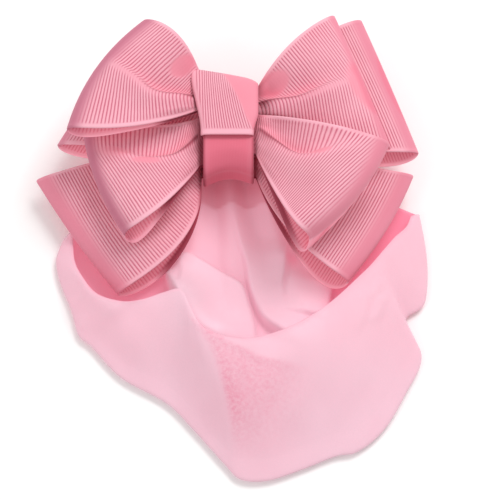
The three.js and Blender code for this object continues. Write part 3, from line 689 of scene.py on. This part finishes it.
def fold_lift(across, down):
    """How high the main folds lift the front of the bag, as a share of its loft."""
    lift = 0
    for start, end, height, width in BAG_FOLDS:
        run = np.clip((down - start[1]) / (end[1] - start[1]), 0, 1)
        away = (across - lerp(start[0], end[0], run)) * BAG_REACH
        lift = lift + height * hump(away, 0, width * BAG_LOFT)
    return lift * np.sin(math.pi * np.minimum(1, down + RIM_FOLD_SHARE))


def bag_line(rows, across):
    """Places in millimetres on a table of [x, y] shares, from the bag's left end to its right."""
    return [size * along_list([row[k] for row in rows], across)
            for k, size in enumerate((BAG_REACH, BAG_DROP))]


def bag_front(across, down):
    """Points of the bag's front, from the rim at 0 to the hem at 1."""
    lift = along_list(BAG_LIFT, across)
    drape = lift * (1 - DRAPE_FALL * down + fold_lift(across, down))
    height = CHIFFON_WALL / 2 + HEM_THICKNESS + BAG_LOFT * drape * (1 - down ** 2)
    ends = zip(bag_line(BAG_RIM, across), bag_line(BAG_EDGE, across))
    x, y = [lerp(rim, edge, down) for rim, edge in ends]
    z = lerp(CHIFFON_WALL / 2 + HEM_THICKNESS / 2, height, rounded_fold(down, HEM_BLUNTNESS))
    fade = np.sin(math.pi * np.clip(down, 0, 1)) ** 0.5
    ripple = np.sin(x * 0.55 + 1.7 * np.sin(y * 0.13)) * np.sin(y * 0.21 + 1.1 * np.sin(x * 0.09))
    z = z + (folds_height(x, y, OUTER_FOLDS) + BAG_RIPPLE * ripple) * fade
    return np.stack([x, y, z], -1)


def bag_back(across, up):
    """Points of the bag's back, from the hem at 0 to the gathers along the clip at 1."""
    edge_x, edge_y = bag_line(BAG_EDGE, across)
    clip_side = -(CLIP_WIDTH / 2 + SEAT_GAP + CHIFFON_WALL / 2)
    pleat = (1 - np.cos(2 * math.pi * GATHER_FOLDS * across)) / 2
    hem = HEM_THICKNESS / 2 * (1 - rounded_fold(1 - up, HEM_BLUNTNESS))
    x = lerp(edge_x, (across - 0.5) * GATHER_SPAN, up)
    y = lerp(edge_y, clip_side, up)
    z = CHIFFON_WALL / 2 + hem + GATHER_HEIGHT * pleat * up ** 2
    z = z + folds_height(x, y, INNER_FOLDS)
    for height, place, reach in INNER_RISES:
        z = z + height * spot(x, y, place, reach)
    beside, share = beside_line(x, y, RIM_JOIN["line"])
    inward, _ = beside_line(x, y, RIM_JOIN["side"])
    joined = hump(beside, 0, RIM_JOIN["reach"]) * soft_step(-0.8, 0.8, inward)
    z = lerp(z, lerp(*RIM_JOIN["height"], share), joined)
    return np.stack([x + 0 * z, y + 0 * z, z], -1)


def bag_marks(grid, hem_row):
    """The marks of the bag's chiffon, from 0 to 1."""
    from_rim = run_length(grid, 0)
    outer = (np.arange(len(grid)) <= hem_row)[:, None]
    x, y, z = grid[..., 0], grid[..., 1], grid[..., 2]
    # Two layers lie together on the front, right of the first crease and below the second.
    beside, _ = beside_line(x, y, OUTER_FOLDS[0][-1])
    below, _ = beside_line(x, y, OUTER_FOLDS[1][-1])
    layers = soft_step(-1, 1.6, beside) * soft_step(0.8, -0.6, below)
    layers = layers * soft_step(27, 7, x) * soft_step(-90, -67, y)
    layers = layers * lerp(1, 0.45, soft_step(-3, 8, beside + 0.5 * below + 6))
    # The gathers below the bow end in a scalloped line, and are painted in shade under the bow, darkest
    # towards the top.
    scallop = -14.6 + 0.5 * np.sin(x * 0.75 + 0.8)
    tucked = soft_step(-0.35, 0.35, y - scallop) * lerp(0.55, 1, soft_step(-14, -8.5, y))
    tucked = tucked * soft_step(11.5, 8.5, np.abs(x - 1.5))
    # Low places inside are painted in shade, most of all at both ends, and so are the place behind the
    # right fold and a deep hollow.
    ends = soft_step(-12, -16, x) + soft_step(24, 29, x)
    low = (1 - soft_step(1.6, 5.2, z)) * (0.3 + 0.7 * ends)
    beyond, _ = beside_line(x, y, INNER_FOLDS[3][-1])
    low = np.maximum(low, 1.8 * soft_step(0, 0.8, beyond) * soft_step(-54, -48, y))
    low = np.maximum(low, 0.8 * spot(x, y, *HOLLOW) * soft_step(15.4, 15.9, x))
    return {
        "layers": np.where(outer, layers, 0),
        "hem": np.where(outer, (1 - soft_step(0.4, 1, from_rim)) * (1 - spot(x, y, *RIM_MERGE)), 0),
        "inside": np.where(outer, 0, 1 - 0.9 * spot(x, y, *LIT_INSIDE)),
        "tucked": np.where(outer, 0, tucked),
        "rich": np.where(outer, 0, low * soft_step(-66, -50, y)),
    }


def snood_bag(settings):
    front = toward_fold(84)[:, None]
    back = np.concatenate([np.linspace(0, 0.3, 22)[1:], np.linspace(0.3, 1, 91)[1:]])[:, None]
    across = np.linspace(0, 1, 241)[None, :]
    grid = np.concatenate([bag_front(across, front), bag_back(across, back)])
    marks = bag_marks(grid, len(front) - 1)
    piece = cloth_shell("chiffon_bag", grid, settings.thickness / MM, marks)
    piece.data.materials.append(chiffon(settings))
    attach(piece, "root")
    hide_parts("snood_bag")
    min(flat_area(grid), BAG_CUT ** 2)


# ---- materials

class Value:
    """A shader socket that takes part in Python expressions."""

    def __init__(self, shader, socket):
        self.shader = shader
        self.socket = socket

    def math(self, operation, *terms, clamp=False):
        """A Math node on some terms, which are values or numbers."""
        settings = dict(operation=operation, use_clamp=clamp)
        sockets = {str(i): term for i, term in enumerate(terms)}
        return self.shader.value("ShaderNodeMath", settings, **sockets)

    def __add__(self, other):
        return self.math("ADD", self, other)

    def __sub__(self, other):
        return self.math("SUBTRACT", self, other)

    def __rsub__(self, other):
        return self.math("SUBTRACT", other, self)

    def __mul__(self, other):
        return self.math("MULTIPLY", self, other)

    def __pow__(self, other):
        return self.math("POWER", self, other)

    __radd__ = __add__
    __rmul__ = __mul__

    def cosine(self):
        return self.math("COSINE", self)

    def clamped(self):
        return self.math("ADD", self, 0, clamp=True)


class Shader:
    """A material under construction."""

    def __init__(self, name):
        self.material = bpy.data.materials.new(name)
        self.material.use_nodes = True
        self.tree = self.material.node_tree
        self.tree.nodes.clear()
        self.output = self.tree.nodes.new("ShaderNodeOutputMaterial")

    def add(self, kind, settings=None, out=0, **sockets):
        """Adds a node, makes its settings and then its sockets, and gives one of its outputs."""
        node = self.tree.nodes.new(kind)
        for key, value in (settings or {}).items():
            setattr(node, key, value)
        for key, value in sockets.items():
            socket = node.inputs[int(key)] if key.isdigit() else node.inputs[key.replace("_", " ")]
            if isinstance(value, Value):
                value = value.socket
            if isinstance(value, bpy.types.NodeSocket):
                self.tree.links.new(value, socket)
            elif socket.type == "RGBA":
                socket.default_value = (*value, 1)
            else:
                socket.default_value = value
        return node.outputs[out] if node.outputs else node

    def value(self, kind, settings=None, out=0, **sockets):
        return Value(self, self.add(kind, settings, out, **sockets))

    def marks(self, *names):
        return [self.value("ShaderNodeAttribute", dict(attribute_name=name), 2) for name in names]

    def object_place(self):
        return self.add("ShaderNodeTexCoord", out=3)

    def noise(self, scale, detail=2, rough=0.5):
        return self.value("ShaderNodeTexNoise", Vector=self.object_place(), Scale=scale, Detail=detail,
                          Roughness=rough)

    def mix(self, factor, first, second):
        sockets = {"0": factor, "6": first, "7": second}
        return self.add("ShaderNodeMix", dict(data_type="RGBA"), 2, **sockets)

    def bump(self, height, distance, strength):
        return self.add("ShaderNodeBump", Height=height, Distance=distance, Strength=strength)

    def finish(self, **sockets):
        surface = self.add("ShaderNodeBsdfPrincipled", **sockets)
        self.tree.links.new(surface, self.output.inputs["Surface"])
        return self.material


def grosgrain(settings):
    """Ribbed ribbon: broad ribs with painted shade in their narrow grooves, smooth selvedges, a deeper
    pink where the ribs lie flat, painted shade along folds, in clefts, near the knot and inside the
    loops, and a painted glow of light through the cloth."""
    if "grosgrain ribbon" in bpy.data.materials:
        return bpy.data.materials["grosgrain ribbon"]
    s = Shader("grosgrain ribbon")
    rib, weave, turned, edge = s.marks("rib", "weave", "turned", "edge")
    rich, inside, seam = s.marks("rich", "inside", "seam")
    wander = s.noise(800) - 0.5
    wave = ((rib + wander * 0.16) * (2 * math.pi)).cosine() * 0.5 + 0.5
    crown = wave ** 0.34
    uneven = s.noise(160)
    blotch = s.noise(60, 3)
    thread = s.noise(5200)
    # Painted shade in the narrow grooves between the ribs, over their bump.
    groove_shade = (1 - crown) * weave * (uneven * 0.9 + 0.6)
    lit = 0.86 + edge * 0.02 - groove_shade * 1.05 - (1 - weave) * (1 - edge) * 0.2
    lit = lit + (blotch - 0.5) * 0.3 + (thread - 0.5) * 0.22
    ground = s.mix(lit, settings.deep, settings.light)
    # Painted shade inside the loops, near the knot, in valleys, along folds and over the wrap, and a
    # deeper pink where the ribs lie flat.
    deeper = s.mix(crown * weave * 0.4 + 0.06, settings.rich, settings.light)
    ground = s.mix(rich * 0.75 + inside * (0.85 - edge * 0.5), ground, deeper)
    # Painted shade where the ribbon turns over at a fold.
    shaded = s.mix(turned * 0.85, ground, settings.turned)
    # Painted shadow in the narrow clefts between folds.
    shaded = s.mix(seam * 0.85, shaded, settings.seam)
    # Painted light: an emission for light through the ribbon, strongest inside the loops and in painted
    # shade, none in the clefts.
    glow = s.mix(inside + rich * 0.5 - seam, (0, 0, 0), shaded)
    height = crown * weave + edge * 0.4 + thread * 0.1
    return s.finish(
        Base_Color=shaded,
        Roughness=thread * 0.15 + 0.7,
        Normal=s.bump(height, settings.rib_depth, 0.9),
        Emission_Color=glow,
        Emission_Strength=settings.glow,
        Sheen_Weight=0.25,
        Sheen_Roughness=0.45,
        Sheen_Tint=(1, 0.78, 0.84),
        Specular_IOR_Level=0.25,
    )


def chiffon(settings):
    """Sheer cloth: a fine crisp weave that lets what lies behind it through, with a painted glow for
    the light through it, and painted shade low inside and under the bow.
    """
    s = Shader("sheer chiffon")
    layers, hem, inside, tucked, rich = s.marks("layers", "hem", "inside", "tucked", "rich")
    grain = s.noise(2600, 3, 0.6)
    cloud = s.noise(45, 3)
    fine = s.noise(1000, 2, 0.7)
    # Painted shade low inside the bag; two layers together and the hem are a deeper pink of their own.
    depth = inside * 0.04 + rich * 0.66 + hem * 0.25 + (cloud - 0.5) * 0.3 + (grain - 0.5) * 0.25 + 0.05
    depth = depth + layers * ((fine - 0.5) * 1.9 + 0.66)
    ground = s.mix(depth, settings.light, settings.deep)
    # Painted shade under the bow, over the gathers.
    ground = s.mix(tucked * 0.8, ground, settings.tucked)
    # Painted light: an emission for light through the chiffon, strongest inside the bag and in its
    # painted shade.
    glow = s.mix(inside * 0.35 + rich * 0.4 + 0.3, (0, 0, 0), ground)
    alpha = (inside * 0.12 + hem * 0.12 + layers * 0.08 + grain * 0.1 + settings.cover).clamped()
    return s.finish(
        Base_Color=ground,
        Roughness=grain * 0.2 + 0.62,
        Alpha=alpha,
        Normal=s.bump(grain * 0.7 + cloud * 0.3, 0.00005, 0.6),
        Emission_Color=glow,
        Emission_Strength=settings.glow,
        Sheen_Weight=0.2,
        Sheen_Roughness=0.5,
        Sheen_Tint=(1, 0.9, 0.94),
        Specular_IOR_Level=0.2,
    )


def brushed_steel(settings):
    s = Shader("brushed clip steel")
    place = s.add("ShaderNodeMapping", Vector=s.object_place(), Scale=(40, 1800, 1800))
    brushing = s.value("ShaderNodeTexNoise", Vector=place, Scale=1, Detail=4, Roughness=0.6)
    smudge = s.noise(120, 3)
    ground = s.mix(brushing * 0.6 + smudge * 0.3, settings.steel_dark, settings.steel_light)
    return s.finish(
        Base_Color=ground,
        Metallic=1,
        Roughness=(brushing * 0.25 + smudge * 0.15 + 0.2).clamped(),
        Normal=s.bump(brushing, 0.00002, 0.5),
    )


def paper_floor(settings):
    s = Shader("pale floor")
    grain = s.noise(380, 4)
    ground = s.mix(grain * 0.5, settings.floor, [v * 0.97 for v in settings.floor])
    return s.finish(Base_Color=ground, Roughness=grain * 0.1 + 0.8, Normal=s.bump(grain, 0.00002, 0.3),
                    Specular_IOR_Level=0.1)


# ---- settings

def colour_setting(name, description, default):
    return bpy.props.FloatVectorProperty(
        name=name, description=description, subtype="COLOR", size=3, min=0, max=1, default=default)


def length_setting(name, description, low, high, default):
    return bpy.props.FloatProperty(
        name=name, description=description, unit="LENGTH", min=low, max=high, precision=6,
        default=default)


def number_setting(name, description, high, default, **kind):
    return bpy.props.FloatProperty(
        name=name, description=description, min=0, max=high, default=default, **kind)


class RibbonSettings(bpy.types.PropertyGroup):
    light: colour_setting("Light pink", "Colour of the crowns of the ribs", (0.87, 0.455, 0.535))
    # The colour of the painted shade in the grooves between the ribs.
    deep: colour_setting("Deep pink", "Colour between the ribs", (0.6, 0.13, 0.2))
    # The colour of the painted shade on a fold.
    turned: colour_setting("Fold shade pink", "Colour where the ribbon turns over", (0.48, 0.125, 0.2))
    # The colour of painted shade, and of ribs pulled flat.
    rich: colour_setting("Shade and flat pink", "Colour where the ribbon is tucked away or pulled flat",
                         (0.67, 0.115, 0.18))
    # The colour of the painted shadow in the narrow clefts.
    seam: colour_setting("Cleft shadow red", "Colour in the narrow clefts between folds", (0.3, 0.02, 0.05))
    # Painted light through the ribbon, given as an emission.
    glow: number_setting("Light through", "Strength of the light that comes through the ribbon", 2, 0.3)
    rib_pitch: length_setting("Rib pitch", "Distance from one rib to the next", 0.0003, 0.003, 0.00078)
    rib_depth: length_setting("Rib depth", "Height of a rib above the cloth", 0.00001, 0.001, 0.00016)
    thickness: length_setting("Thickness", "Thickness of the ribbon", 0.0001, 0.001, 0.0005)


class BagSettings(bpy.types.PropertyGroup):
    light: colour_setting("Light chiffon", "Colour of one layer of the cloth", (0.88, 0.61, 0.7))
    deep: colour_setting("Deep chiffon", "Colour where the cloth lies in layers", (0.8, 0.26, 0.37))
    # The colour of the painted shade under the bow.
    tucked: colour_setting("Tucked chiffon", "Colour where the cloth is gathered under the bow",
                           (0.68, 0.2, 0.27))
    # Painted light through the chiffon, given as an emission.
    glow: number_setting("Light through", "Strength of the light that comes through the cloth", 2, 0.25)
    cover: number_setting("Cover", "How much of what lies behind the cloth it hides", 1, 0.55,
                          subtype="FACTOR")
    thickness: length_setting("Thickness", "Thickness of the chiffon", 0.0001, 0.001, 0.0003)


class ClipSettings(bpy.types.PropertyGroup):
    steel_light: colour_setting("Light steel", "Colour of the brushed steel", (0.62, 0.62, 0.64))
    steel_dark: colour_setting("Dark steel", "Colour in the brush marks", (0.36, 0.36, 0.38))


class StageSettings(bpy.types.PropertyGroup):
    floor: colour_setting("Floor", "Colour of the floor", (0.93, 0.925, 0.92))
    sky: number_setting("Room light", "Strength of the even light of the room", 5, 0.66)
    key: number_setting("Main lamp", "Power of the large soft lamp", 100, 5.2, unit="POWER")
    fill: number_setting("Fill lamp", "Power of the second lamp", 100, 1.6, unit="POWER")
    camera_angle: number_setting("Camera height angle", "Angle of the camera above the floor",
                                 1.57, math.radians(70), subtype="ANGLE")
    camera_distance: length_setting("Camera distance", "Distance from the camera to the part",
                                    0.1, 5, 0.76)
    frame_width: length_setting("Frame width", "Width of what the picture shows at that distance",
                                0.01, 2, 0.138)


# ---- operators

class SNOOD_OT_ribbon_loops(bpy.types.Operator):
    """Make the eight ribbon loops of the bow"""
    bl_idname = "snood.ribbon_loops"
    bl_label = "Ribbon loops"

    def execute(self, context):
        for loop in LOOPS:
            ribbon_loop(loop, context.scene.snood_ribbon)
        return {"FINISHED"}


class SNOOD_OT_knot(bpy.types.Operator):
    """Make the folded piece and the wrap round the waist of the bow"""
    bl_idname = "snood.knot"
    bl_label = "Knot"

    def execute(self, context):
        knot_cover(context.scene.snood_ribbon)
        knot_band(context.scene.snood_ribbon)
        return {"FINISHED"}


class SNOOD_OT_bag(bpy.types.Operator):
    """Make the sheer bag"""
    bl_idname = "snood.bag"
    bl_label = "Chiffon bag"

    def execute(self, context):
        snood_bag(context.scene.snood_bag)
        return {"FINISHED"}


class SNOOD_OT_clip(bpy.types.Operator):
    """Give the clip its brushed steel"""
    bl_idname = "snood.clip"
    bl_label = "Clip"

    def execute(self, context):
        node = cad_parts["barrette_clip"]
        node.data.materials.clear()
        node.data.materials.append(brushed_steel(context.scene.snood_clip))
        return {"FINISHED"}


class SNOOD_OT_stage(bpy.types.Operator):
    """Make the floor, the lamps and the camera"""
    bl_idname = "snood.stage"
    bl_label = "Stage"

    def execute(self, context):
        scene = context.scene
        settings = scene.snood_stage
        scene.view_settings.view_transform = "Standard"
        bpy.ops.object.select_all(action="DESELECT")
        bpy.ops.mesh.primitive_plane_add(size=3, location=(0, 0, 0))
        floor = context.active_object
        floor.name = "floor"
        floor.data.materials.append(paper_floor(settings))
        scene.world = bpy.data.worlds.new("room")
        scene.world.use_nodes = True
        room = scene.world.node_tree.nodes["Background"].inputs
        room[0].default_value = (*ROOM_COLOUR, 1)
        room[1].default_value = settings.sky
        target = Vector(PICTURE_MIDDLE) * MM
        for name, place, size, power in (
            ("main lamp", (0.32, 0.42, 0.75), 0.5, settings.key),
            ("fill lamp", (-0.6, -0.35, 0.6), 0.6, settings.fill),
        ):
            data = bpy.data.lights.new(name, "AREA")
            data.shape, data.size, data.energy = "DISK", size, power
            lamp = bpy.data.objects.new(name, data)
            scene.collection.objects.link(lamp)
            lamp.location = place
            lamp.rotation_euler = (target - Vector(place)).to_track_quat("-Z", "Y").to_euler()
        data = bpy.data.cameras.new("camera")
        camera = bpy.data.objects.new("camera", data)
        scene.collection.objects.link(camera)
        angle = settings.camera_angle
        back = Vector((0, -math.cos(angle), math.sin(angle)))
        camera.location = target + back * settings.camera_distance
        camera.rotation_euler = (math.pi / 2 - angle, 0, 0)
        data.sensor_width = SENSOR_WIDTH
        data.lens = SENSOR_WIDTH * settings.camera_distance / settings.frame_width
        data.clip_start, data.clip_end = 0.01, 20
        scene.camera = camera
        return {"FINISHED"}


class SNOOD_PT_panel(bpy.types.Panel):
    """The steps that make the part, in their order"""
    bl_idname = "SNOOD_PT_panel"
    bl_label = "Ribbon bow clip"
    bl_space_type = "VIEW_3D"
    bl_region_type = "UI"
    bl_category = "Snood"

    def draw(self, context):
        for operator, group in STEPS:
            box = self.layout.box()
            if group:
                for setting in GROUPS[group].__annotations__:
                    box.prop(getattr(context.scene, group), setting)
            box.operator(operator)


GROUPS = dict(snood_stage=StageSettings, snood_ribbon=RibbonSettings, snood_bag=BagSettings,
              snood_clip=ClipSettings)

# Each step's operator, and the settings that the panel shows with it.
STEPS = (
    ("snood.stage", "snood_stage"), ("snood.ribbon_loops", "snood_ribbon"), ("snood.knot", None),
    ("snood.bag", "snood_bag"), ("snood.clip", "snood_clip"),
)

CLASSES = (
    *GROUPS.values(), SNOOD_OT_ribbon_loops, SNOOD_OT_knot, SNOOD_OT_bag, SNOOD_OT_clip,
    SNOOD_OT_stage, SNOOD_PT_panel,
)


def register():
    for item in CLASSES:
        bpy.utils.register_class(item)
    for name, group in GROUPS.items():
        setattr(bpy.types.Scene, name, bpy.props.PointerProperty(type=group))


def unregister():
    for name in GROUPS:
        delattr(bpy.types.Scene, name)
    for item in reversed(CLASSES):
        bpy.utils.unregister_class(item)


def main():
    register()
    bpy.ops.snood.stage()
    bpy.ops.snood.ribbon_loops()
    bpy.ops.snood.knot()
    bpy.ops.snood.bag()
    bpy.ops.snood.clip()


if __name__ == "__main__":
    main()
